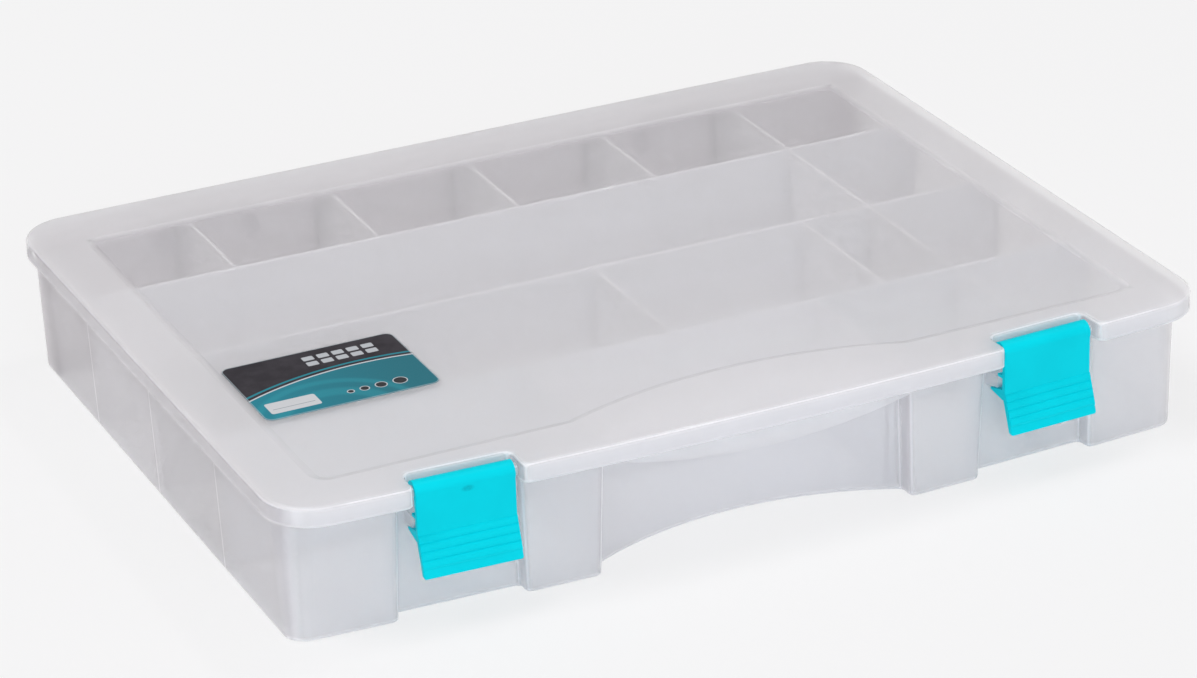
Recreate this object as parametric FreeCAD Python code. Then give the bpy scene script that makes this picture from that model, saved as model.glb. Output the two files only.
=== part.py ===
"""Organizer box: a frosted tub with a hinged lid, two snap latches and loose partition plates.

X runs along the front, Y runs to the back and Z is up. While a piece is drawn, Y is 0 at the
front corners of the lid; place() then centres the whole box over the origin.
"""
import FreeCAD, Part
import math
import os
from FreeCAD import Vector

# Lid
LID_WIDTH = 330.0
LID_DEPTH = 252.0
BOX_HEIGHT = 50.7
FRONT_BOW = 5.9
LID_CORNER = 17.5
LID_SKIRT = 6.5
LID_PLATE = 2.4
SKIRT_WALL = 1.8
LID_TOP_ROUND = 1.4

# Sunk window in the lid, with its front edge curved back behind the handle
WINDOW_SINK = 0.7
WINDOW_SLOPE = 3.0
WINDOW_SIDE = 21.0
WINDOW_FRONT = 18.5
WINDOW_BACK = 26.8
WINDOW_CORNER = 4.0
WINDOW_CURVE_PAST = 6.0
WINDOW_CURVE_RISE = 11.5

# Tub
CLOSE_GAP = 0.3
WALL = 1.8
FLOOR = 1.8
DRAFT_DEG = 1.9
TUB_SIDE = 3.4
TUB_FRONT = 8.9
TUB_BACK = 3.4
TUB_CORNER = 11.6
CORNER_TAPER = 2.5
EDGE_ROUND = 2.5
INNER_EDGE_ROUND = 1.6
BOTTOM_ROUND = 1.2

# Rim inside the lid's skirt, and the lip under it along the handle, deepest in the middle
RIM_PLATE = 2.4
RIM_CLEARANCE = 0.5
LIP_THICK = 2.2
LIP_DROP = 9.0
LIP_END_DROP = 2.5

# Handle recess in the front wall, and the post between it and a latch's pocket
HANDLE_POST = 30.1
HANDLE_DEEP = 23.7
HANDLE_RADIUS = 118.0

# Latches, their notches in the lid and their pockets in the tub
LATCH_FROM_END = 61.3
LATCH_WIDTH = 33.0
LATCH_PLATE = 1.7
LATCH_LENGTH = 27.4
LATCH_FLARE = 4.5
LATCH_STRAIGHT = 14.4
LATCH_CORNER = 0.8
LATCH_EDGE_ROUND = 0.4
LATCH_BAR_Y = 7.0
LATCH_BAR_DROP = 4.3
CLIP_WALL = 1.3
RIDGE_COUNT = 4
RIDGE_PITCH = 2.6
RIDGE_RADIUS = 2.0
RIDGE_PROUD = 0.45
RIDGE_START = 1.4
NOTCH_SIDE_GAP = 1.3
NOTCH_BACK_GAP = 1.4
NOTCH_WALL = 1.4
NOTCH_ROUND = 3.0
POCKET_GAP = 0.4
POCKET_DEPTH = 5.8

# Hook on the latch and the ledge in the pocket that it goes under
HOOK_DROP = 13.0
HOOK_LENGTH = 7.0
HOOK_FALL = 1.6
HOOK_ROOT = 3.6
HOOK_TIP = 0.6
GUARD_RIB = 1.0
GUARD_LENGTH = 2.7
LEDGE_FRONT_GAP = 2.8
LEDGE_GAP = 0.4
LEDGE_HEIGHT = 3.7

# Snap bars that carry the latches and the lid
BAR_RADIUS = 2.0
RUN_FIT = 0.08
SNAP_MOUTH = 3.2

# Hinges at the back
HINGE_FROM_END = 70.0
HINGE_WIDTH = 30.0
HINGE_Y_OUT = 1.2
HINGE_DROP = 4.2
HINGE_CLIP_WALL = 1.5
LUG_THICK = 4.0
LUG_ROOT = 9.0
LUG_GAP = 0.4

# Partition plates
PLATE = 1.3
PLATE_GAP = 0.3
PLATE_TOP_GAP = 0.5
PLATE_TOP_ROUND = 0.5
SEAT_GAP = 0.25
RIB_WIDTH = 1.0
RIB_PROUD = 1.4
RIB_SHORT = 4.0
FRONT_ROW_DEPTH = 66.8
BACK_ROW_DEPTH = 65.2
END_COLUMN_WIDTH = 58.2

# Label on the window
LABEL_WIDTH = 60.0
LABEL_DEPTH = 42.6
LABEL_THICK = 0.2
LABEL_CORNER = 3.0
LABEL_FROM_SIDE = 21.6
LABEL_FROM_FRONT = 64.0

# Columns of the cross plates in each row, in steps of the column pitch from the middle
ROW_NAMES = ("front", "third", "second", "back")
ROW_COLUMNS = ((-1, 1, 2), (0, 1.5, 2), (2,), (-2, -1, 0, 1, 2))
LONG_WALL_NAMES = ("front", "middle", "back")

# Sizes that follow from the ones above
EMBED = 0.3
ROOT_EMBED = 0.6
PAST = 1.0
SAME_LEVEL = 1e-6
HALF_WIDTH = LID_WIDTH / 2
LID_BOTTOM = BOX_HEIGHT - LID_SKIRT
LID_UNDERSIDE = BOX_HEIGHT - LID_PLATE
TUB_HEIGHT = LID_UNDERSIDE - CLOSE_GAP
RIM_INSET = SKIRT_WALL + RIM_CLEARANCE
RIM_BOTTOM = TUB_HEIGHT - RIM_PLATE
BOW_RADIUS = (HALF_WIDTH ** 2 + FRONT_BOW ** 2) / (2 * FRONT_BOW)
BOW_CENTRE_Y = BOW_RADIUS - FRONT_BOW
LATCH_X = HALF_WIDTH - LATCH_FROM_END
LATCH_HALF = LATCH_WIDTH / 2
LATCH_BAR_Z = BOX_HEIGHT - LATCH_BAR_DROP
CLIP_RADIUS = BAR_RADIUS + RUN_FIT + CLIP_WALL
LATCH_FACE = LATCH_BAR_Y - CLIP_RADIUS
LATCH_INNER = LATCH_FACE + LATCH_PLATE
LATCH_BEND_Z = LATCH_BAR_Z - LATCH_STRAIGHT
LATCH_BOTTOM = LATCH_BAR_Z - LATCH_LENGTH
NOTCH_HALF = LATCH_HALF + NOTCH_SIDE_GAP
NOTCH_DEPTH = LATCH_BAR_Y + CLIP_RADIUS + NOTCH_BACK_GAP
POCKET_HALF = NOTCH_HALF + NOTCH_WALL + POCKET_GAP
HANDLE_HALF = LATCH_X - POCKET_HALF - HANDLE_POST
WINDOW_CURVE_HALF = HANDLE_HALF + WINDOW_CURVE_PAST
HOOK_TOP = LATCH_BAR_Z - HOOK_DROP
HINGE_X = HALF_WIDTH - HINGE_FROM_END
HINGE_Y = LID_DEPTH + HINGE_Y_OUT
HINGE_Z = LID_BOTTOM - HINGE_DROP
HINGE_CLIP_RADIUS = BAR_RADIUS + RUN_FIT + HINGE_CLIP_WALL
CENTRE_Y = (HINGE_Y + HINGE_CLIP_RADIUS - FRONT_BOW) / 2
PLATE_TOP = TUB_HEIGHT - PLATE_TOP_GAP
RIB_TOP = PLATE_TOP - RIB_SHORT
SEAT_HALF = PLATE / 2 + SEAT_GAP
ROW_PITCH = (LID_DEPTH - FRONT_ROW_DEPTH - BACK_ROW_DEPTH) / (len(LONG_WALL_NAMES) - 1)
LONG_WALL_Y = [FRONT_ROW_DEPTH + ROW_PITCH * step for step in range(len(LONG_WALL_NAMES))]
COLUMN_PITCH = (HALF_WIDTH - END_COLUMN_WIDTH) / max(ROW_COLUMNS[-1])
SIDES = (-1, 1)


def line(start, end):
    return Part.LineSegment(start, end).toShape()


def arc(start, middle, end):
    return Part.Arc(start, middle, end).toShape()


def prism(wire, height):
    return Part.Face(wire).extrude(Vector(0, 0, height))


def block(x0, x1, y0, y1, z0, z1):
    return Part.makeBox(x1 - x0, y1 - y0, z1 - z0, Vector(x0, y0, z0))


def rod(radius, half_length, y, z):
    """Round bar along X, centred on X = 0."""
    return Part.makeCylinder(radius, 2 * half_length, Vector(-half_length, y, z), Vector(1, 0, 0))


def side_profile(points, half_width):
    """Solid of one outline in the YZ plane, drawn out along X to both sides."""
    corners = [Vector(-half_width, y, z) for y, z in points]
    wire = Part.makePolygon(corners + corners[:1])
    return Part.Face(wire).extrude(Vector(2 * half_width, 0, 0))


def bow_y(x, inset):
    """Y of the bowed front line at x, moved inward by inset."""
    return BOW_CENTRE_Y - math.sqrt((BOW_RADIUS - inset) ** 2 - x ** 2)


def bowed_wire(side, front, back, corner, z):
    """Outline of the box in plan with its sides, front and back moved inward."""
    half = HALF_WIDTH - side
    radius = BOW_RADIUS - front
    back_y = LID_DEPTH - back
    centre_x = half - corner
    centre_y = BOW_CENTRE_Y - math.sqrt((radius - corner) ** 2 - centre_x ** 2)
    reach = radius / (radius - corner)
    touch_x = centre_x * reach
    touch_y = BOW_CENTRE_Y - (BOW_CENTRE_Y - centre_y) * reach
    middle = math.atan2(touch_y - centre_y, touch_x - centre_x) / 2
    front_x = centre_x + corner * math.cos(middle)
    front_y = centre_y + corner * math.sin(middle)
    slant = corner * (1 - math.sqrt(0.5))

    def at(x, y):
        return Vector(x, y, z)

    return Part.Wire([
        arc(at(-touch_x, touch_y), at(0, bow_y(0, front)), at(touch_x, touch_y)),
        arc(at(touch_x, touch_y), at(front_x, front_y), at(half, centre_y)),
        line(at(half, centre_y), at(half, back_y - corner)),
        arc(at(half, back_y - corner), at(half - slant, back_y - slant), at(half - corner, back_y)),
        line(at(half - corner, back_y), at(corner - half, back_y)),
        arc(at(corner - half, back_y), at(slant - half, back_y - slant), at(-half, back_y - corner)),
        line(at(-half, back_y - corner), at(-half, centre_y)),
        arc(at(-half, centre_y), at(-front_x, front_y), at(-touch_x, touch_y)),
    ])


def lid_wire(inset, z):
    return bowed_wire(inset, inset, inset, LID_CORNER - inset, z)


def rounded_rectangle(x0, x1, y0, y1, radius, z):
    wire = Part.makePolygon([Vector(*p, z) for p in ((x0, y0), (x1, y0), (x1, y1), (x0, y1), (x0, y0))])
    solid = prism(wire, PAST)
    upright = [edge for edge in solid.Edges if edge.Vertexes[0].Z != edge.Vertexes[1].Z]
    rounded = solid.makeFillet(radius, upright)
    floor = min(rounded.Faces, key=lambda face: face.CenterOfMass.z)
    return floor.OuterWire


def at_latch(shape, side):
    """Moves a piece drawn about the lid's front edge to the left or right latch, square to the bow."""
    turn = math.degrees(math.asin(LATCH_X / BOW_RADIUS))
    moved = shape.copy()
    moved.rotate(Vector(0, 0, 0), Vector(0, 0, 1), side * turn)
    moved.translate(Vector(side * LATCH_X, bow_y(LATCH_X, 0), 0))
    return moved


def draft_at(z):
    """How far the tub's walls lean inward at height z."""
    return (TUB_HEIGHT - z) * math.tan(math.radians(DRAFT_DEG))


def pocket(side, grow, z0, z1):
    """Space in front of the tub for one latch, widened by grow and by the draft."""
    wires = []
    for z in (z0 - PAST, z1 + PAST):
        more = grow + draft_at(z)
        half = POCKET_HALF + more
        deep = TUB_FRONT + POCKET_DEPTH + more
        plan = ((-half, -TUB_FRONT), (half, -TUB_FRONT), (half, deep), (-half, deep), (-half, -TUB_FRONT))
        wires.append(Part.makePolygon([Vector(x, y, z) for x, y in plan]))
    return at_latch(Part.makeLoft(wires, True, True), side)


def handle_recess(grow, z0, z1):
    """Curved space behind the handle, widened by grow and by the draft."""
    wires = []
    out = -TUB_FRONT - FRONT_BOW
    for z in (z0 - PAST, z1 + PAST):
        more = grow + draft_at(z)
        half = HANDLE_HALF + more
        deep = HANDLE_DEEP + more
        radius = HANDLE_RADIUS + more
        end_y = deep - radius + math.sqrt(radius ** 2 - half ** 2)
        wires.append(Part.Wire([
            line(Vector(-half, out, z), Vector(-half, end_y, z)),
            arc(Vector(-half, end_y, z), Vector(0, deep, z), Vector(half, end_y, z)),
            line(Vector(half, end_y, z), Vector(half, out, z)),
            line(Vector(half, out, z), Vector(-half, out, z)),
        ]))
    return Part.makeLoft(wires, True, True)


def tub_space(inset, z0, z1):
    """Drafted body of the tub, with every wall moved inward by inset."""
    wires = []
    for z in (z0, z1):
        more = inset + draft_at(z)
        corner = TUB_CORNER - inset - CORNER_TAPER * draft_at(z)
        wires.append(bowed_wire(TUB_SIDE + more, TUB_FRONT + more, TUB_BACK + more, corner, z))
    space = Part.makeLoft(wires, True, True)
    for side in SIDES:
        space = space.cut(pocket(side, inset, z0, z1))
    return space.cut(handle_recess(inset, z0, z1))


def is_upright(edge):
    return abs(edge.Vertexes[0].Z - edge.Vertexes[-1].Z) > LID_SKIRT / 2


def front_upright_edges(shape):
    """Upright edges of the pockets, notches and recess, without the box's own round corners."""
    reach = LATCH_X + POCKET_HALF + WALL + EDGE_ROUND
    return [edge for edge in shape.Edges if is_upright(edge) and abs(edge.CenterOfMass.x) < reach]


def is_outward(edge):
    """Tells an edge on the tub's front line from one at the back of a pocket or the recess."""
    middle = edge.CenterOfMass
    return middle.y < bow_y(middle.x, TUB_FRONT) + POCKET_DEPTH / 2


def level_edges(shape, z):
    return [edge for edge in shape.Edges if all(abs(v.Z - z) < SAME_LEVEL for v in edge.Vertexes)]


def seat_ribs(cavity_rib_band):
    """Pairs of upright ribs on the tub's walls that hold the ends of the plates."""
    ribs = []
    for offset in (-SEAT_HALF - RIB_WIDTH / 2, SEAT_HALF + RIB_WIDTH / 2):
        low = offset - RIB_WIDTH / 2
        high = offset + RIB_WIDTH / 2
        for y in LONG_WALL_Y:
            ribs.append(block(-HALF_WIDTH, HALF_WIDTH, y + low, y + high, FLOOR - EMBED, RIB_TOP))
        for row, y0, y1 in ((0, -FRONT_BOW, LONG_WALL_Y[0] / 2),
                            (-1, LONG_WALL_Y[-1] + ROW_PITCH / 2, LID_DEPTH)):
            for column in ROW_COLUMNS[row]:
                x = column * COLUMN_PITCH
                ribs.append(block(x + low, x + high, y0, y1, FLOOR - EMBED, RIB_TOP))
    return [rib.common(cavity_rib_band) for rib in ribs]


def make_catch_ledge(side):
    """Ledge across the pocket, with a sloping underside that the latch's hook goes under."""
    front = LATCH_INNER + LEDGE_FRONT_GAP
    top = HOOK_TOP + LEDGE_HEIGHT
    root = TUB_FRONT + POCKET_DEPTH + draft_at(top) + ROOT_EMBED
    slope = HOOK_FALL / HOOK_LENGTH
    low_front = HOOK_TOP - (front - LATCH_INNER) * slope + LEDGE_GAP
    low_root = HOOK_TOP - (root - LATCH_INNER) * slope + LEDGE_GAP
    outline = ((front, top), (root, top), (root, low_root), (front, low_front))
    return at_latch(side_profile(outline, LATCH_HALF), side)


def make_hinge_bar(side):
    """Two lugs on the tub's back wall and the bar between them."""
    root = LID_DEPTH - TUB_BACK - draft_at(0) - ROOT_EMBED
    high = HINGE_Z + HINGE_CLIP_RADIUS
    low = HINGE_Z - HINGE_CLIP_RADIUS
    outline = ((root, high), (HINGE_Y, high), (HINGE_Y, low), (root, low - LUG_ROOT))
    half = LUG_THICK / 2
    lug = side_profile(outline, half).fuse(rod(HINGE_CLIP_RADIUS, half, HINGE_Y, HINGE_Z))
    pieces = rod(BAR_RADIUS, HINGE_WIDTH / 2 + half, HINGE_Y, HINGE_Z)
    for end in SIDES:
        moved = lug.copy()
        moved.translate(Vector(end * (HINGE_WIDTH / 2 + half), 0, 0))
        pieces = pieces.fuse(moved)
    pieces.translate(Vector(side * HINGE_X, 0, 0))
    return pieces


def make_rim(cavity):
    """Flat rim inside the lid's skirt. It roofs the handle recess and stays out of the pockets."""
    rim = prism(lid_wire(RIM_INSET, RIM_BOTTOM), RIM_PLATE).cut(cavity)
    for side in SIDES:
        rim = rim.cut(pocket(side, 0, 0, TUB_HEIGHT))
    lip_bottom = RIM_BOTTOM - LIP_DROP
    lip = prism(lid_wire(RIM_INSET, lip_bottom), LIP_DROP + EMBED)
    lip = lip.cut(prism(lid_wire(RIM_INSET + LIP_THICK, lip_bottom - PAST), LIP_DROP + 2 * PAST))
    ends = [Vector(side * HANDLE_HALF, -FRONT_BOW, RIM_BOTTOM - LIP_END_DROP) for side in SIDES]
    roots = [end + Vector(0, 0, LIP_END_DROP + EMBED) for end in ends]
    sag = arc(ends[0], Vector(0, -FRONT_BOW, lip_bottom), ends[1])
    outline = Part.Wire([sag, line(ends[1], roots[1]), line(roots[1], roots[0]), line(roots[0], ends[0])])
    grip = Part.Face(outline).extrude(Vector(0, FRONT_BOW + TUB_FRONT, 0))
    return rim.fuse(lip.common(grip))


def make_base_tub():
    outer = tub_space(0, 0, TUB_HEIGHT)
    inward = [edge for edge in front_upright_edges(outer) if not is_outward(edge)]
    outer = outer.makeFillet(INNER_EDGE_ROUND, inward)
    outward = [edge for edge in front_upright_edges(outer) if is_outward(edge)]
    outer = outer.makeFillet(EDGE_ROUND, outward)
    outer = outer.makeFillet(BOTTOM_ROUND, level_edges(outer, 0))
    cavity = tub_space(WALL, FLOOR, TUB_HEIGHT + PAST)
    rib_band = tub_space(WALL - EMBED, FLOOR - EMBED, TUB_HEIGHT)
    rib_band = rib_band.cut(tub_space(WALL + RIB_PROUD, FLOOR - PAST, TUB_HEIGHT + PAST))
    pieces = [make_rim(cavity)] + seat_ribs(rib_band)
    for side in SIDES:
        pieces.append(make_catch_ledge(side))
        pieces.append(make_hinge_bar(side))
    return outer.cut(cavity).fuse(pieces).removeSplitter()


def notch(side, grow, z0, z1):
    """Gap in the lid's front edge for one latch."""
    half = NOTCH_HALF + grow
    return at_latch(block(-half, half, -TUB_FRONT, NOTCH_DEPTH + grow, z0, z1), side)


def window_wire(rise):
    """Outline of the sunk window at a rise above its floor, square at the back and curved at the handle."""
    z = BOX_HEIGHT - WINDOW_SINK + rise
    grow = WINDOW_SLOPE * rise / WINDOW_SINK
    half = HALF_WIDTH - WINDOW_SIDE + grow
    front = WINDOW_FRONT - grow
    back = LID_DEPTH - WINDOW_BACK + grow
    plain = Part.Face(rounded_rectangle(-half, half, front, back, WINDOW_CORNER + grow, z))
    ends = [Vector(side * WINDOW_CURVE_HALF, front, z) for side in SIDES]
    below = [Vector(end.x, front - PAST, z) for end in ends]
    curve = arc(ends[0], Vector(0, front + WINDOW_CURVE_RISE, z), ends[1])
    swell = Part.Wire([curve, line(ends[1], below[1]), line(below[1], below[0]), line(below[0], ends[0])])
    return plain.cut(Part.Face(swell)).Faces[0].OuterWire


def make_lid_clip(side):
    """Snap clip at the back of the lid that turns on the tub's hinge bar."""
    half = HINGE_WIDTH / 2 - LUG_GAP
    ring = rod(HINGE_CLIP_RADIUS, half, HINGE_Y, HINGE_Z)
    web = block(-half, half, LID_DEPTH - SKIRT_WALL, LID_DEPTH, HINGE_Z, LID_BOTTOM + EMBED)
    clip = ring.fuse(web).cut(rod(BAR_RADIUS + RUN_FIT, half, HINGE_Y, HINGE_Z))
    mouth = SNAP_MOUTH / 2
    slot = block(-half, half, HINGE_Y - mouth, HINGE_Y + mouth, HINGE_Z - 2 * HINGE_CLIP_RADIUS, HINGE_Z)
    clip = clip.cut(slot)
    clip.translate(Vector(side * HINGE_X, 0, 0))
    return clip


def make_lid():
    outer = prism(lid_wire(0, LID_BOTTOM), LID_SKIRT)
    for side in SIDES:
        outer = outer.cut(notch(side, 0, LID_BOTTOM - PAST, BOX_HEIGHT + PAST))
    outer = outer.makeFillet(NOTCH_ROUND, front_upright_edges(outer))
    outer = outer.makeFillet(LID_TOP_ROUND, level_edges(outer, BOX_HEIGHT))
    hollow = prism(lid_wire(SKIRT_WALL, LID_BOTTOM - PAST), LID_SKIRT - LID_PLATE + PAST)
    for side in SIDES:
        hollow = hollow.cut(notch(side, NOTCH_WALL, LID_BOTTOM - 2 * PAST, BOX_HEIGHT))
    window = Part.makeLoft([window_wire(0), window_wire(WINDOW_SINK + EMBED)], True, True)
    lid = outer.cut(hollow).cut(window)
    bar = rod(BAR_RADIUS, NOTCH_HALF + NOTCH_WALL / 2, LATCH_BAR_Y, LATCH_BAR_Z)
    pieces = [at_latch(bar, side) for side in SIDES]
    pieces += [make_lid_clip(side) for side in SIDES]
    return lid.fuse(pieces).removeSplitter()


def make_latch(side):
    """Snap latch: a clip around the lid's bar, a flat plate, a hook and a flared grip with ridges."""
    grip_face = LATCH_FACE - LATCH_FLARE
    slope = LATCH_FLARE / (LATCH_BEND_Z - LATCH_BOTTOM)

    def face_y(z):
        return LATCH_FACE - max(0, LATCH_BEND_Z - z) * slope

    plate = side_profile((
        (LATCH_FACE, LATCH_BAR_Z),
        (LATCH_FACE, LATCH_BEND_Z),
        (grip_face, LATCH_BOTTOM),
        (grip_face + LATCH_PLATE, LATCH_BOTTOM),
        (LATCH_INNER, LATCH_BEND_Z),
        (LATCH_INNER, LATCH_BAR_Z),
    ), LATCH_HALF)
    corners = [edge for edge in level_edges(plate, LATCH_BOTTOM) if edge.BoundBox.XLength < EMBED]
    plate = plate.makeFillet(LATCH_CORNER, corners)
    front = [edge for edge in plate.Edges if all(v.Y < face_y(v.Z) + SAME_LEVEL for v in edge.Vertexes)]
    inner_lines = level_edges(plate, LATCH_BEND_Z) + level_edges(plate, LATCH_BAR_Z)
    rims = [edge for edge in front if not any(edge.isSame(other) for other in inner_lines)]
    plate = plate.makeFillet(LATCH_EDGE_ROUND, rims)
    root = LATCH_INNER - EMBED
    tip = LATCH_INNER + HOOK_LENGTH
    hook = side_profile((
        (root, HOOK_TOP),
        (tip, HOOK_TOP - HOOK_FALL),
        (tip, HOOK_TOP - HOOK_FALL - HOOK_TIP),
        (root, HOOK_TOP - HOOK_ROOT),
    ), LATCH_HALF)
    guard_z = HOOK_TOP + LEDGE_HEIGHT + LEDGE_GAP
    guard = block(-LATCH_HALF, LATCH_HALF, root, LATCH_INNER + GUARD_LENGTH, guard_z, guard_z + GUARD_RIB)
    pieces = [rod(CLIP_RADIUS, LATCH_HALF, LATCH_BAR_Y, LATCH_BAR_Z), hook, guard]
    skin = plate.copy()
    skin.translate(Vector(0, -RIDGE_PROUD, 0))
    for ridge in range(RIDGE_COUNT):
        ridge_z = LATCH_BEND_Z - RIDGE_START - ridge * RIDGE_PITCH
        ridge_y = face_y(ridge_z) + RIDGE_RADIUS - RIDGE_PROUD
        pieces.append(rod(RIDGE_RADIUS, LATCH_HALF, ridge_y, ridge_z).common(skin))
    mouth = SNAP_MOUTH / 2
    slot = block(-LATCH_HALF, LATCH_HALF, LATCH_BAR_Y - mouth, LATCH_BAR_Y + mouth,
                 LATCH_BAR_Z - 2 * CLIP_RADIUS, LATCH_BAR_Z)
    bore = rod(BAR_RADIUS + RUN_FIT, LATCH_HALF, LATCH_BAR_Y, LATCH_BAR_Z)
    latch = plate.fuse(pieces).cut(bore).cut(slot).removeSplitter()
    return at_latch(latch, side)


def make_label():
    x0 = LABEL_FROM_SIDE - HALF_WIDTH
    wire = rounded_rectangle(x0, x0 + LABEL_WIDTH, LABEL_FROM_FRONT, LABEL_FROM_FRONT + LABEL_DEPTH,
                             LABEL_CORNER, BOX_HEIGHT - WINDOW_SINK)
    return prism(wire, LABEL_THICK)


def round_top(plate):
    """Rounds the two long upper edges of a partition plate."""
    upper = sorted(level_edges(plate, PLATE_TOP), key=lambda edge: edge.Length)
    return plate.makeFillet(PLATE_TOP_ROUND, upper[-2:])


def make_long_wall(index, clear_space):
    """Long plate from side to side, with seat ribs for the cross plates of the rows beside it."""
    y = LONG_WALL_Y[index]
    plate = block(-HALF_WIDTH, HALF_WIDTH, y - PLATE / 2, y + PLATE / 2, FLOOR, PLATE_TOP).common(clear_space)
    plate = round_top(plate)
    ribs = []
    for row, y0, y1 in ((index, -PLATE / 2 - RIB_PROUD, EMBED - PLATE / 2),
                        (index + 1, PLATE / 2 - EMBED, PLATE / 2 + RIB_PROUD)):
        for column in ROW_COLUMNS[row]:
            for offset in (-SEAT_HALF - RIB_WIDTH, SEAT_HALF):
                x = column * COLUMN_PITCH + offset
                ribs.append(block(x, x + RIB_WIDTH, y + y0, y + y1, FLOOR, RIB_TOP))
    return plate.fuse(ribs).removeSplitter()


def make_cross_plate(row, column, clear_space):
    """Plate across one row, standing on the floor between two long walls or a long wall and the tub."""
    x = column * COLUMN_PITCH
    reach = PLATE / 2 + PLATE_GAP
    y0 = LONG_WALL_Y[row - 1] + reach if row > 0 else -FRONT_BOW
    y1 = LONG_WALL_Y[row] - reach if row < len(LONG_WALL_Y) else LID_DEPTH
    plate = block(x - PLATE / 2, x + PLATE / 2, y0, y1, FLOOR, PLATE_TOP).common(clear_space)
    return round_top(plate)


def place(shape, node):
    """Centres a finished piece over the origin and writes it."""
    moved = shape.copy()
    moved.translate(Vector(0, -CENTRE_Y, 0))
    solid = moved.Solids[0] if len(moved.Solids) == 1 else moved
    solid.exportStep("parts/" + node + ".step")
    print(node, "solids", len(moved.Solids), "valid", moved.isValid(), "volume", round(moved.Volume, 1))


def main():
    os.makedirs("parts", exist_ok=True)
    place(make_base_tub(), "base_tub")
    place(make_lid(), "lid")
    place(make_latch(-1), "latch_left")
    place(make_latch(1), "latch_right")
    place(make_label(), "label")
    clear_space = tub_space(WALL + PLATE_GAP, FLOOR, PLATE_TOP)
    for index, name in enumerate(LONG_WALL_NAMES):
        place(make_long_wall(index, clear_space), "long_wall_" + name)
    for row, name in enumerate(ROW_NAMES):
        for number, column in enumerate(ROW_COLUMNS[row], 1):
            place(make_cross_plate(row, column, clear_space), "divider_" + name + "_" + str(number))


main()
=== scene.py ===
import bmesh
import bpy
import math
from mathutils import Matrix, Vector

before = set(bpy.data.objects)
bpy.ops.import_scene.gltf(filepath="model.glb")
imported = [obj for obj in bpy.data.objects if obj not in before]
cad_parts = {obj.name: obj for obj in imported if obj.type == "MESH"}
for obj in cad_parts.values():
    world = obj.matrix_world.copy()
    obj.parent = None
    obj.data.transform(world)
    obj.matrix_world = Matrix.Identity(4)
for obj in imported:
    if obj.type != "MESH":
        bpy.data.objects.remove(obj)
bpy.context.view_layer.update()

scene = bpy.context.scene
scene.view_settings.view_transform = "Standard"
scene.cycles.max_bounces = 16
scene.cycles.diffuse_bounces = 14
scene.cycles.transparent_max_bounces = 40

# Plan of the lid's sunk window, in metres
WINDOW_HALF = 0.144
WINDOW_FRONT = -0.10694
WINDOW_BACK = 0.09976
CURVE_CENTRE_Y = -0.25774
CURVE_RADIUS = 0.1623

# Middle lines of the three long partition plates, in metres
LONG_WALL_Y = (-0.05864, 0.00136, 0.06136)

# Half width and soft border of the light line where a long plate meets the tub's end wall, in metres
SEAT_LINE_HALF = 0.0004
SEAT_LINE_SOFT = 0.0003
END_WALL_FROM = 0.154
END_WALL_TO = 0.156

# Where the back wall, the tub's foot and the skirt's lower rim begin and end, in metres
# The tub's back wall is painted darker than the rest of the tub: painted shade.
REAR_FROM_Y = 0.100
REAR_TO_Y = 0.116
# The tub's foot is kept more opaque so a white line shows there: partly thicker plastic at the rounded
# bottom edge, partly a painted highlight.
FOOT_FROM_Z = 0.0004
FOOT_TO_Z = 0.0020
# The skirt's lower rim is kept more opaque so a light line shows there: a painted highlight.
RIM_FROM_Z = 0.0444
RIM_TO_Z = 0.0452

# Shift that brings the middle of the label to the origin, in millimetres
LABEL_SHIFT = (113.4, 40.14, 0)

# Gate mark on the left latch, in metres
GATE_MARK = (-0.1030, -0.1265, 0.0452)

# Colours of the label's print
PALE_INK = (0.62, 0.66, 0.68, 1)
CELL_INK = (0.52, 0.55, 0.57, 1)
BLANK_FIELD = (0.66, 0.68, 0.69, 1)
RULE_INK = (0.24, 0.30, 0.33, 1)
DOT_INK = (0.03, 0.032, 0.036, 1)
RIM_INK = (0.50, 0.60, 0.63, 1)
TEAL_LEFT = (0.012, 0.235, 0.305, 1)
TEAL_RIGHT = (0.016, 0.17, 0.215, 1)
TEAL_RIPPLE = (0.03, 0.36, 0.43, 1)
TEAL_STRIPE = (0.016, 0.25, 0.31, 1)
CHARCOAL_DARK = (0.024, 0.021, 0.027, 1)
CHARCOAL_LIGHT = (0.042, 0.038, 0.046, 1)

# Place, right and up directions and focal length of the camera fitted to the photograph
CAMERA_PLACE = (-0.5533, -1.2031, 0.6376)
CAMERA_RIGHT = (0.90182, -0.43099, -0.03085)
CAMERA_UP = (0.20734, 0.36901, 0.90600)
CAMERA_LENS = 128.31

# Level of the background as it shows, and the share of it that covers the lit floor
BACKGROUND = 0.94
BACKGROUND_SHARE = 0.75


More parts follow.
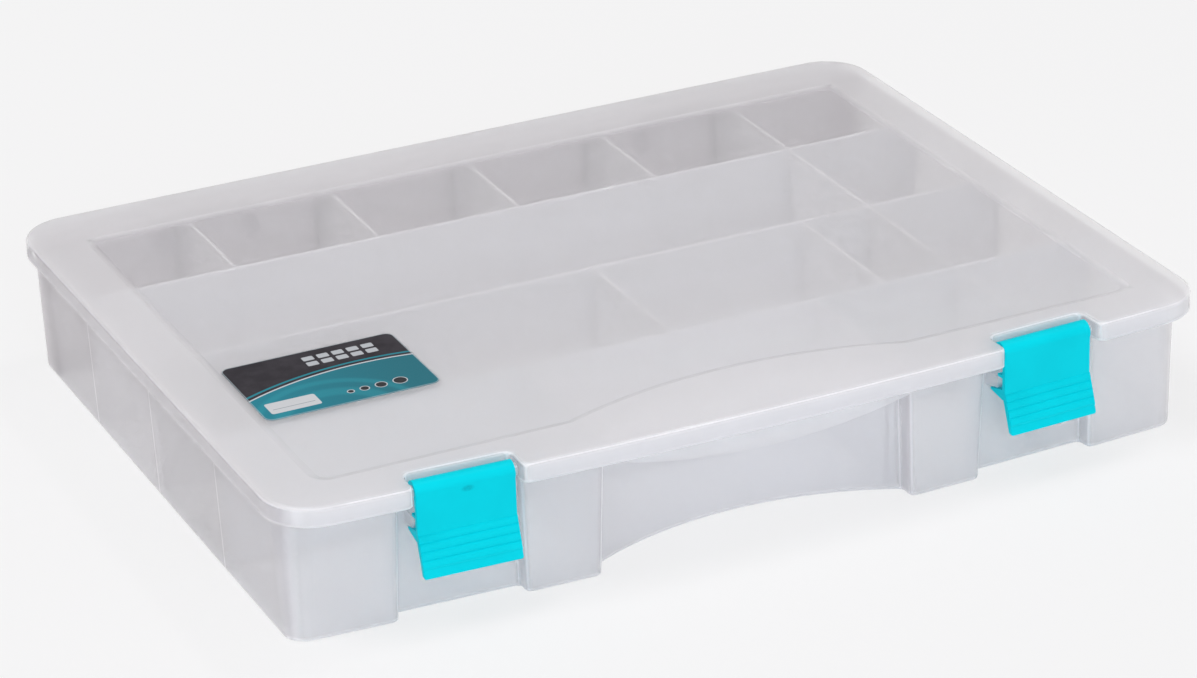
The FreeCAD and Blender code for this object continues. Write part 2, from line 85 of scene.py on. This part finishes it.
class Nodes:
    """Adds nodes to one tree and links their inputs."""

    def __init__(self, tree):
        self.tree = tree

    def add(self, kind, settings=None, **inputs):
        node = self.tree.nodes.new("ShaderNode" + kind)
        for name, value in (settings or {}).items():
            setattr(node, name, value)
        for name, value in inputs.items():
            self.feed(node.inputs[name.replace("_", " ")], value)
        return node

    def feed(self, socket, value):
        if isinstance(value, bpy.types.NodeSocket):
            self.tree.links.new(value, socket)
        else:
            socket.default_value = value

    def math(self, operation, *values):
        node = self.tree.nodes.new("ShaderNodeMath")
        node.operation = operation
        for socket, value in zip(node.inputs, values):
            self.feed(socket, value)
        return node.outputs[0]

    def ramp(self, value, low, high, to_low=0.0, to_high=1.0):
        node = self.tree.nodes.new("ShaderNodeMapRange")
        node.interpolation_type = "SMOOTHSTEP"
        for name, given in (("Value", value), ("From Min", low), ("From Max", high),
                            ("To Min", to_low), ("To Max", to_high)):
            self.feed(node.inputs[name], given)
        return node.outputs["Result"]

    def mix(self, factor, first, second):
        node = self.tree.nodes.new("ShaderNodeMix")
        node.data_type = "RGBA"
        self.feed(node.inputs[0], factor)
        self.feed(node.inputs[6], first)
        self.feed(node.inputs[7], second)
        return node.outputs[2]

    def vector(self, operation, *values):
        node = self.tree.nodes.new("ShaderNodeVectorMath")
        node.operation = operation
        for socket, value in zip(node.inputs, values):
            self.feed(socket, value)
        return node.outputs["Value" if operation == "LENGTH" else "Vector"]

    def band(self, value, centre, half, soft):
        """Mask of a strip around one value."""
        away = self.math("ABSOLUTE", self.math("SUBTRACT", value, centre))
        return self.ramp(away, half - soft, half + soft, 1.0, 0.0)

    def group(self, tree, **inputs):
        node = self.tree.nodes.new("ShaderNodeGroup")
        node.node_tree = tree
        for name, value in inputs.items():
            self.feed(node.inputs[name.replace("_", " ")], value)
        return node.outputs


def new_group(name, inputs, outputs):
    tree = bpy.data.node_groups.new(name, "ShaderNodeTree")
    for title, kind, value in inputs:
        socket = tree.interface.new_socket(title, in_out="INPUT", socket_type="NodeSocket" + kind)
        socket.default_value = value
    for title, kind in outputs:
        tree.interface.new_socket(title, in_out="OUTPUT", socket_type="NodeSocket" + kind)
    start = tree.nodes.new("NodeGroupInput")
    end = tree.nodes.new("NodeGroupOutput")
    return tree, Nodes(tree), start.outputs, end.inputs


def make_grain_group():
    """Fine spark texture of the mould and the slow clouding of the plastic's flow."""
    tree, n, given, out = new_group("mould_grain", [
        ("Size", "Float", 0.0006), ("Flow Size", "Float", 0.09)], [("Grain", "Float"), ("Flow", "Float")])
    place = n.add("TexCoord").outputs["Object"]
    grain = n.add("TexNoise", Vector=place, Detail=2.0, Roughness=0.6,
                  Scale=n.math("DIVIDE", 1.0, given["Size"]))
    flow = n.add("TexNoise", Vector=place, Detail=3.0, Roughness=0.5,
                 Scale=n.math("DIVIDE", 1.0, given["Flow Size"]))
    n.feed(out["Grain"], grain.outputs["Fac"])
    n.feed(out["Flow"], n.ramp(flow.outputs["Fac"], 0.3, 0.7))
    return tree


def make_edge_group():
    """Masks of rounded edges, level faces, upright faces and end faces, by the surface's direction."""
    tree, n, _, out = new_group("moulded_edges", [], [
        ("Edge", "Float"), ("Front Edge", "Float"), ("Level", "Float"),
        ("Upright", "Float"), ("End", "Float")])
    parts = n.add("SeparateXYZ", Vector=n.add("TexCoord").outputs["Normal"]).outputs
    sizes = [n.math("ABSOLUTE", part) for part in parts]
    most = n.math("MAXIMUM", n.math("MAXIMUM", sizes[0], sizes[1]), sizes[2])
    place = n.add("SeparateXYZ", Vector=n.add("TexCoord").outputs["Object"]).outputs
    # Rounded edges are kept more so they show lighter, less at the box's own corners: partly the
    # plastic's thickness along a fillet, partly a painted highlight.
    wide_corner = n.ramp(n.math("ABSOLUTE", place[0]), 0.140, 0.147, 1.0, 0.35)
    edge = n.math("MULTIPLY", n.ramp(most, 0.72, 0.9, 1.0, 0.0), wide_corner)
    upright = n.ramp(sizes[2], 0.2, 0.6, 1.0, 0.0)
    n.feed(out["Edge"], edge)
    # Front Edge carries a painted highlight along the lid's front top edge.
    n.feed(out["Front Edge"], n.math("MULTIPLY", edge, n.ramp(place[1], -0.110, -0.090, 1.0, 0.0)))
    # Level carries a painted highlight on the plates' top faces.
    n.feed(out["Level"], n.ramp(sizes[2], 0.8, 0.95))
    n.feed(out["Upright"], upright)
    # End carries painted shade: a darker tint on the tub's end walls and the skirt's ends.
    n.feed(out["End"], n.math("MULTIPLY", upright, n.ramp(sizes[0], 0.6, 0.9)))
    return tree


def make_zone_group():
    """Masks of the back wall, the tub's foot, the skirt's lower rim and the plates' seats."""
    tree, n, _, out = new_group("box_zones", [], [
        ("Rear", "Float"), ("Foot", "Float"), ("Skirt Rim", "Float"), ("Seat", "Float")])
    place = n.add("SeparateXYZ", Vector=n.add("TexCoord").outputs["Object"]).outputs
    # Rear: on the tub it carries painted shade, a darker tint on the back wall.
    n.feed(out["Rear"], n.ramp(place[1], REAR_FROM_Y, REAR_TO_Y))
    # Foot: partly thicker plastic, partly a painted highlight along the tub's bottom edge.
    n.feed(out["Foot"], n.ramp(place[2], FOOT_FROM_Z, FOOT_TO_Z, 1.0, 0.0))
    # Skirt Rim carries a painted highlight line along the skirt's lower edge.
    n.feed(out["Skirt Rim"], n.ramp(place[2], RIM_FROM_Z, RIM_TO_Z, 1.0, 0.0))
    seat = 0.0
    for y in LONG_WALL_Y:
        seat = n.math("MAXIMUM", seat, n.band(place[1], y, SEAT_LINE_HALF, SEAT_LINE_SOFT))
    end_wall = n.ramp(n.math("ABSOLUTE", place[0]), END_WALL_FROM, END_WALL_TO)
    n.feed(out["Seat"], n.math("MULTIPLY", seat, end_wall))
    return tree


def make_window_group():
    """Masks of the lid's sunk window in plan, and of its front left corner, where a sheen is painted by
    keeping more light.
    """
    tree, n, _, out = new_group("sunk_window", [], [("Window", "Float"), ("Window Sheen", "Float")])
    place = n.add("SeparateXYZ", Vector=n.add("TexCoord").outputs["Object"]).outputs
    middle = (WINDOW_FRONT + WINDOW_BACK) / 2
    half_y = (WINDOW_BACK - WINDOW_FRONT) / 2
    over_x = n.math("SUBTRACT", n.math("ABSOLUTE", place[0]), WINDOW_HALF)
    over_y = n.math("SUBTRACT", n.math("ABSOLUTE", n.math("SUBTRACT", place[1], middle)), half_y)
    box = n.math("MAXIMUM", over_x, over_y)
    from_curve = n.math("SUBTRACT", place[1], CURVE_CENTRE_Y)
    squares = n.math("ADD", n.math("MULTIPLY", place[0], place[0]),
                     n.math("MULTIPLY", from_curve, from_curve))
    curve = n.math("SUBTRACT", CURVE_RADIUS, n.math("SQRT", squares))
    inside = n.ramp(n.math("MAXIMUM", box, curve), 0.0, 0.003, 1.0, 0.0)
    slant = n.math("ADD", place[1], n.math("MULTIPLY", place[0], 0.25))
    n.feed(out["Window"], inside)
    # The window's front left corner is kept more opaque: a painted sheen.
    n.feed(out["Window Sheen"], n.math("MULTIPLY", inside, n.ramp(slant, -0.13, 0.0, 1.0, 0.0)))
    return tree


def make_patch_group():
    """Masks of one round-cornered patch of print and of its outline, in millimetres on the label."""
    tree, n, given, out = new_group("print_patch", [
        ("Place", "Vector", (0, 0, 0)), ("Centre", "Vector", (0, 0, 0)), ("Half", "Vector", (1, 1, 50)),
        ("Corner", "Float", 0.5), ("Line", "Float", 0.3)], [("Fill", "Float"), ("Outline", "Float")])
    away = n.vector("ABSOLUTE", n.vector("SUBTRACT", given["Place"], given["Centre"]))
    corner = n.add("CombineXYZ", X=given["Corner"], Y=given["Corner"], Z=given["Corner"]).outputs[0]
    over = n.vector("ADD", n.vector("SUBTRACT", away, given["Half"]), corner)
    outside = n.vector("LENGTH", n.vector("MAXIMUM", over, (0, 0, 0)))
    parts = n.add("SeparateXYZ", Vector=over).outputs
    within = n.math("MINIMUM", n.math("MAXIMUM", parts[0], parts[1]), 0.0)
    distance = n.math("SUBTRACT", n.math("ADD", outside, within), given["Corner"])
    fill = n.ramp(distance, -0.08, 0.08, 1.0, 0.0)
    core = n.ramp(n.math("ADD", distance, given["Line"]), -0.08, 0.08, 1.0, 0.0)
    n.feed(out["Fill"], fill)
    n.feed(out["Outline"], n.math("SUBTRACT", fill, core))
    return tree


grain_group = make_grain_group()
patch_group = make_patch_group()
edge_group = make_edge_group()
zone_group = make_zone_group()
window_group = make_window_group()


def new_material(name):
    material = bpy.data.materials.new(name)
    material.use_nodes = True
    tree = material.node_tree
    tree.nodes.clear()
    n = Nodes(tree)
    out = n.add("OutputMaterial")
    shader = n.add("BsdfPrincipled")
    tree.links.new(shader.outputs["BSDF"], out.inputs["Surface"])
    return material, n, shader


def frosted(name, tints, spread, body, shares, zone_tints_and_painted_light):
    """Natural polypropylene: part of the light goes straight through, the rest wanders in the wall.

    The share of light that the surface keeps is body, plus a share of its own on each mask.
    """
    material, n, shader = new_material(name)
    grain = n.group(grain_group)
    masks = {}
    for tree in (edge_group, zone_group, window_group):
        masks.update(n.group(tree).items())
    colour = n.mix(grain["Flow"], (*tints[0], 1), (*tints[1], 1))
    # The Window tint is the plastic's own colour; the End, Rear and Upright tints are painted shade and
    # painted light.
    for mask, tint in zone_tints_and_painted_light.items():
        colour = n.mix(masks[mask], colour, (*tint, 1))
    kept = n.ramp(grain["Flow"], 0.0, 1.0, body - 0.006, body + 0.006)
    for mask, share in shares.items():
        kept = n.math("ADD", kept, n.math("MULTIPLY", masks[mask], share))
    n.feed(shader.inputs["Base Color"], colour)
    n.feed(shader.inputs["Alpha"], n.math("MAXIMUM", n.math("MINIMUM", kept, 1.0), 0.2))
    n.feed(shader.inputs["Roughness"], n.ramp(grain["Grain"], 0.2, 0.8, 0.34, 0.44))
    shader.inputs["Subsurface Weight"].default_value = 1.0
    shader.inputs["Subsurface Radius"].default_value = (1.0, 1.0, 1.0)
    shader.inputs["Subsurface Scale"].default_value = spread
    shader.inputs["IOR"].default_value = 1.4
    shader.inputs["Specular IOR Level"].default_value = 0.25
    shader.inputs["Coat Weight"].default_value = 0.7
    shader.inputs["Coat Roughness"].default_value = 0.06
    bump = n.add("Bump", Strength=0.04, Distance=0.0002, Height=grain["Grain"])
    n.feed(shader.inputs["Normal"], bump.outputs["Normal"])
    return material


def latch_plastic():
    """Coloured polypropylene with a satin mould texture and a small gate mark on the face."""
    material, n, shader = new_material("cyan_latch")
    grain = n.group(grain_group, Size=0.0004, Flow_Size=0.014)
    colour = n.mix(grain["Flow"], (0.0, 0.68, 0.78, 1), (0.0, 0.71, 0.81, 1))
    place = n.add("TexCoord").outputs["Object"]
    from_gate = n.vector("SUBTRACT", place, GATE_MARK)
    gate = n.vector("LENGTH", n.vector("MULTIPLY", from_gate, (0.5, 0.3, 1.0)))
    blot = n.math("MULTIPLY", n.ramp(gate, 0.0005, 0.0014, 1.0, 0.0),
                  n.ramp(grain["Grain"], 0.3, 0.6, 0.25, 0.5))
    n.feed(shader.inputs["Base Color"], n.mix(blot, colour, (0.0, 0.30, 0.38, 1)))
    n.feed(shader.inputs["Roughness"], n.ramp(grain["Grain"], 0.2, 0.8, 0.36, 0.46))
    shader.inputs["Specular IOR Level"].default_value = 0.06
    bump = n.add("Bump", Strength=0.05, Distance=0.0002, Height=grain["Grain"])
    n.feed(shader.inputs["Normal"], bump.outputs["Normal"])
    return material


def printed_label():
    """Film sticker: charcoal over teal, with rows of cells, a blank field and graded dots."""
    material, n, shader = new_material("printed_label")
    grain = n.group(grain_group, Size=0.0003, Flow_Size=0.006)
    place = n.add("Mapping", Vector=n.add("TexCoord").outputs["Object"], Location=LABEL_SHIFT,
                  Scale=(1000, 1000, 1000)).outputs[0]

    def patch(at, half, corner, line=0.3):
        return n.group(patch_group, Place=place, Centre=(*at, 0), Half=(*half, 90),
                       Corner=corner, Line=line)

    def from_point(x, y):
        away = n.vector("SUBTRACT", place, (x, y, 0))
        return n.vector("LENGTH", n.vector("MULTIPLY", away, (1, 1, 0)))

    across = n.add("SeparateXYZ", Vector=place).outputs[0]
    teal = n.mix(n.ramp(across, -30.0, 30.0), TEAL_LEFT, TEAL_RIGHT)
    from_drop = from_point(-8.0, -30.0)
    ripple = n.math("MAXIMUM", n.band(from_drop, 19.0, 2.6, 1.2), n.band(from_drop, 27.0, 1.4, 1.0))
    teal = n.mix(n.math("MULTIPLY", ripple, 0.35), teal, TEAL_RIPPLE)
    charcoal = n.mix(grain["Flow"], CHARCOAL_DARK, CHARCOAL_LIGHT)
    sweep = from_point(12.0, -95.0)
    colour = n.mix(n.ramp(sweep, 98.9, 99.1), teal, charcoal)
    colour = n.mix(n.band(sweep, 99.0, 0.35, 0.1), colour, PALE_INK)
    colour = n.mix(n.band(sweep, 101.2, 0.5, 0.1), colour, TEAL_STRIPE)

    cells = n.add("VectorMath", {"operation": "WRAP"})
    n.feed(cells.inputs[0], n.vector("SUBTRACT", place, (-1.4, 11.4, 0)))
    cells.inputs[1].default_value = (2.6, 2.1, 1)
    cells.inputs[2].default_value = (-2.6, -2.1, -1)
    cell = n.group(patch_group, Place=cells.outputs[0], Half=(1.95, 1.5, 90), Corner=0.5, Line=0.42)
    tray = patch((9.0, 13.5), (13.0, 4.2), 0.1)["Fill"]
    colour = n.mix(n.math("MULTIPLY", cell["Fill"], tray), colour, CELL_INK)
    blank = patch((-18.2, -13.6), (8.6, 4.0), 0.9)
    colour = n.mix(blank["Fill"], colour, BLANK_FIELD)
    rule = patch((-18.2, -14.6), (7.2, 0.14), 0.05)["Fill"]
    colour = n.mix(rule, colour, RULE_INK)
    for x, size in ((1.5, 1.3), (6.3, 1.7), (12.0, 2.1), (18.6, 2.5)):
        dot = patch((x, -14.0), (size, size), size, 0.34)
        colour = n.mix(dot["Fill"], colour, DOT_INK)
        colour = n.mix(dot["Outline"], colour, PALE_INK)
    rim = patch((0, 0), (30.0, 21.3), 3.0, 0.35)["Outline"]
    colour = n.mix(n.math("MULTIPLY", rim, 0.5), colour, RIM_INK)
    n.feed(shader.inputs["Base Color"], colour)
    n.feed(shader.inputs["Roughness"], n.ramp(grain["Grain"], 0.2, 0.8, 0.34, 0.46))
    shader.inputs["Specular IOR Level"].default_value = 0.25
    bump = n.add("Bump", Strength=0.04, Distance=0.0002, Height=grain["Flow"])
    n.feed(shader.inputs["Normal"], bump.outputs["Normal"])
    return material


tub = frosted("tub_frost", ((0.955, 0.965, 0.99), (0.965, 0.975, 1.0)), 0.0035, 0.35,
              # Painted shade: the End tint darkens the tub's end walls, and the End share keeps more
              # light there.
              {"Edge": 0.40, "Rear": 0.40, "End": 0.14, "Foot": 0.40, "Seat": 0.25},
              # Painted shade: the Rear tint darkens the tub's back wall, and the Rear share keeps more
              # light there.
              {"End": (0.80, 0.782, 0.795), "Rear": (0.725, 0.695, 0.711)})
lid = frosted("lid_frost", ((0.955, 0.938, 0.949), (0.965, 0.948, 0.959)), 0.005, 0.53,
              # Painted highlights: the Front Edge and Skirt Rim shares keep more light along the lid's
              # front top edge and the skirt's lower edge.
              {"Edge": 0.04, "Front Edge": 0.34, "Upright": 0.04, "End": -0.34, "Skirt Rim": 0.30,
               # Painted sheen: more light is kept towards the window's front left corner.
               "Rear": 0.16, "Window": -0.25, "Window Sheen": 0.22},
              # Painted light: the bluish Upright tint on the lid's upright faces stands in for the cool
              # front lamp.
              {"Window": (0.985, 0.975, 0.983), "Upright": (0.95, 0.965, 1.0),
               # Painted shade: the End tint darkens the skirt's ends, and the End share lets more light
               # through there.
               "End": (0.76, 0.745, 0.76)})
# Painted highlight: the Level share makes the plates' top faces lighter.
plate = frosted("plate_frost", ((0.99, 0.983, 0.988), (0.998, 0.991, 0.996)), 0.0013, 0.80,
                {"Edge": 0.18, "Level": 0.18}, {})
cyan = latch_plastic()
label = printed_label()
for node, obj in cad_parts.items():
    material = plate
    if node == "base_tub":
        material = tub
    elif node == "lid":
        material = lid
    elif node.startswith("latch"):
        material = cyan
    elif node == "label":
        material = label
    for slot in obj.material_slots:
        slot.material = material


def add_camera():
    data = bpy.data.cameras.new("camera")
    data.sensor_width = 36
    data.sensor_fit = "HORIZONTAL"
    data.lens = CAMERA_LENS
    data.clip_end = 20
    obj = bpy.data.objects.new("camera", data)
    right = Vector(CAMERA_RIGHT)
    up = Vector(CAMERA_UP)
    back = right.cross(up)
    turn = Matrix((right, up, back)).transposed()
    obj.matrix_world = Matrix.Translation(CAMERA_PLACE) @ turn.to_4x4()
    scene.collection.objects.link(obj)
    scene.camera = obj


def add_floor():
    mesh = bpy.data.meshes.new("floor")
    shape = bmesh.new()
    bmesh.ops.create_grid(shape, x_segments=1, y_segments=1, size=8.0,
                          matrix=Matrix.Translation((0, 0, -0.0002)))
    shape.to_mesh(mesh)
    shape.free()
    obj = bpy.data.objects.new("floor", mesh)
    scene.collection.objects.link(obj)
    material = bpy.data.materials.new("floor")
    material.use_nodes = True
    tree = material.node_tree
    tree.nodes.clear()
    n = Nodes(tree)
    out = n.add("OutputMaterial")
    lit = n.add("BsdfDiffuse", Color=(0.9, 0.9, 0.9, 1))
    shown = n.add("Emission", Color=(BACKGROUND, BACKGROUND, BACKGROUND, 1), Strength=1.0)
    path = n.add("LightPath").outputs
    seen = n.math("MAXIMUM", path["Is Camera Ray"], path["Is Glossy Ray"])
    seen = n.math("MAXIMUM", seen, path["Is Transmission Ray"])
    mixed = n.add("MixShader")
    n.feed(mixed.inputs[0], n.math("MULTIPLY", seen, BACKGROUND_SHARE))
    tree.links.new(lit.outputs[0], mixed.inputs[1])
    tree.links.new(shown.outputs[0], mixed.inputs[2])
    tree.links.new(mixed.outputs[0], out.inputs["Surface"])
    mesh.materials.append(material)


def add_light(name, place, aim, size, radiance, colour):
    """A soft box of the given radiance, so that its power follows its size."""
    data = bpy.data.lights.new(name, "AREA")
    data.shape = "RECTANGLE"
    data.size, data.size_y = size
    data.energy = radiance * math.pi * size[0] * size[1]
    data.color = colour
    obj = bpy.data.objects.new(name, data)
    obj.location = place
    obj.rotation_euler = (Vector(aim) - Vector(place)).to_track_quat("-Z", "Y").to_euler()
    scene.collection.objects.link(obj)


def add_world(colour, behind, before, left):
    """Even room light, weaker behind the object than before it, and cut by a share at its left."""
    world = bpy.data.worlds.new("world")
    world.use_nodes = True
    tree = world.node_tree
    n = Nodes(tree)
    aim = n.add("SeparateXYZ", Vector=n.add("TexCoord").outputs["Generated"]).outputs
    background = tree.nodes["Background"]
    background.inputs["Color"].default_value = (*colour, 1)
    depth = n.ramp(aim[1], -0.8, 0.8, before, behind)
    side = n.ramp(aim[0], -1.0, -0.4, left, 1.0)
    n.feed(background.inputs["Strength"], n.math("MULTIPLY", depth, side))
    scene.world = world


add_camera()
add_floor()
add_light("overhead", (-1.4, -0.1, 2.8), (0, 0, 0), (1.2, 1.0), 8.3, (1, 0.975, 0.985))
add_light("strip", (1.25, 0.15, 3.1), (0, 0, 0), (0.5, 0.2), 32.0, (1, 1, 1))
add_light("front", (-1.2, -4.2, 1.8), (0, 0, 0), (2.0, 1.6), 5.4, (0.74, 0.86, 1.0))
add_world((1.0, 0.965, 0.98), 0.33, 0.70, 0.45)
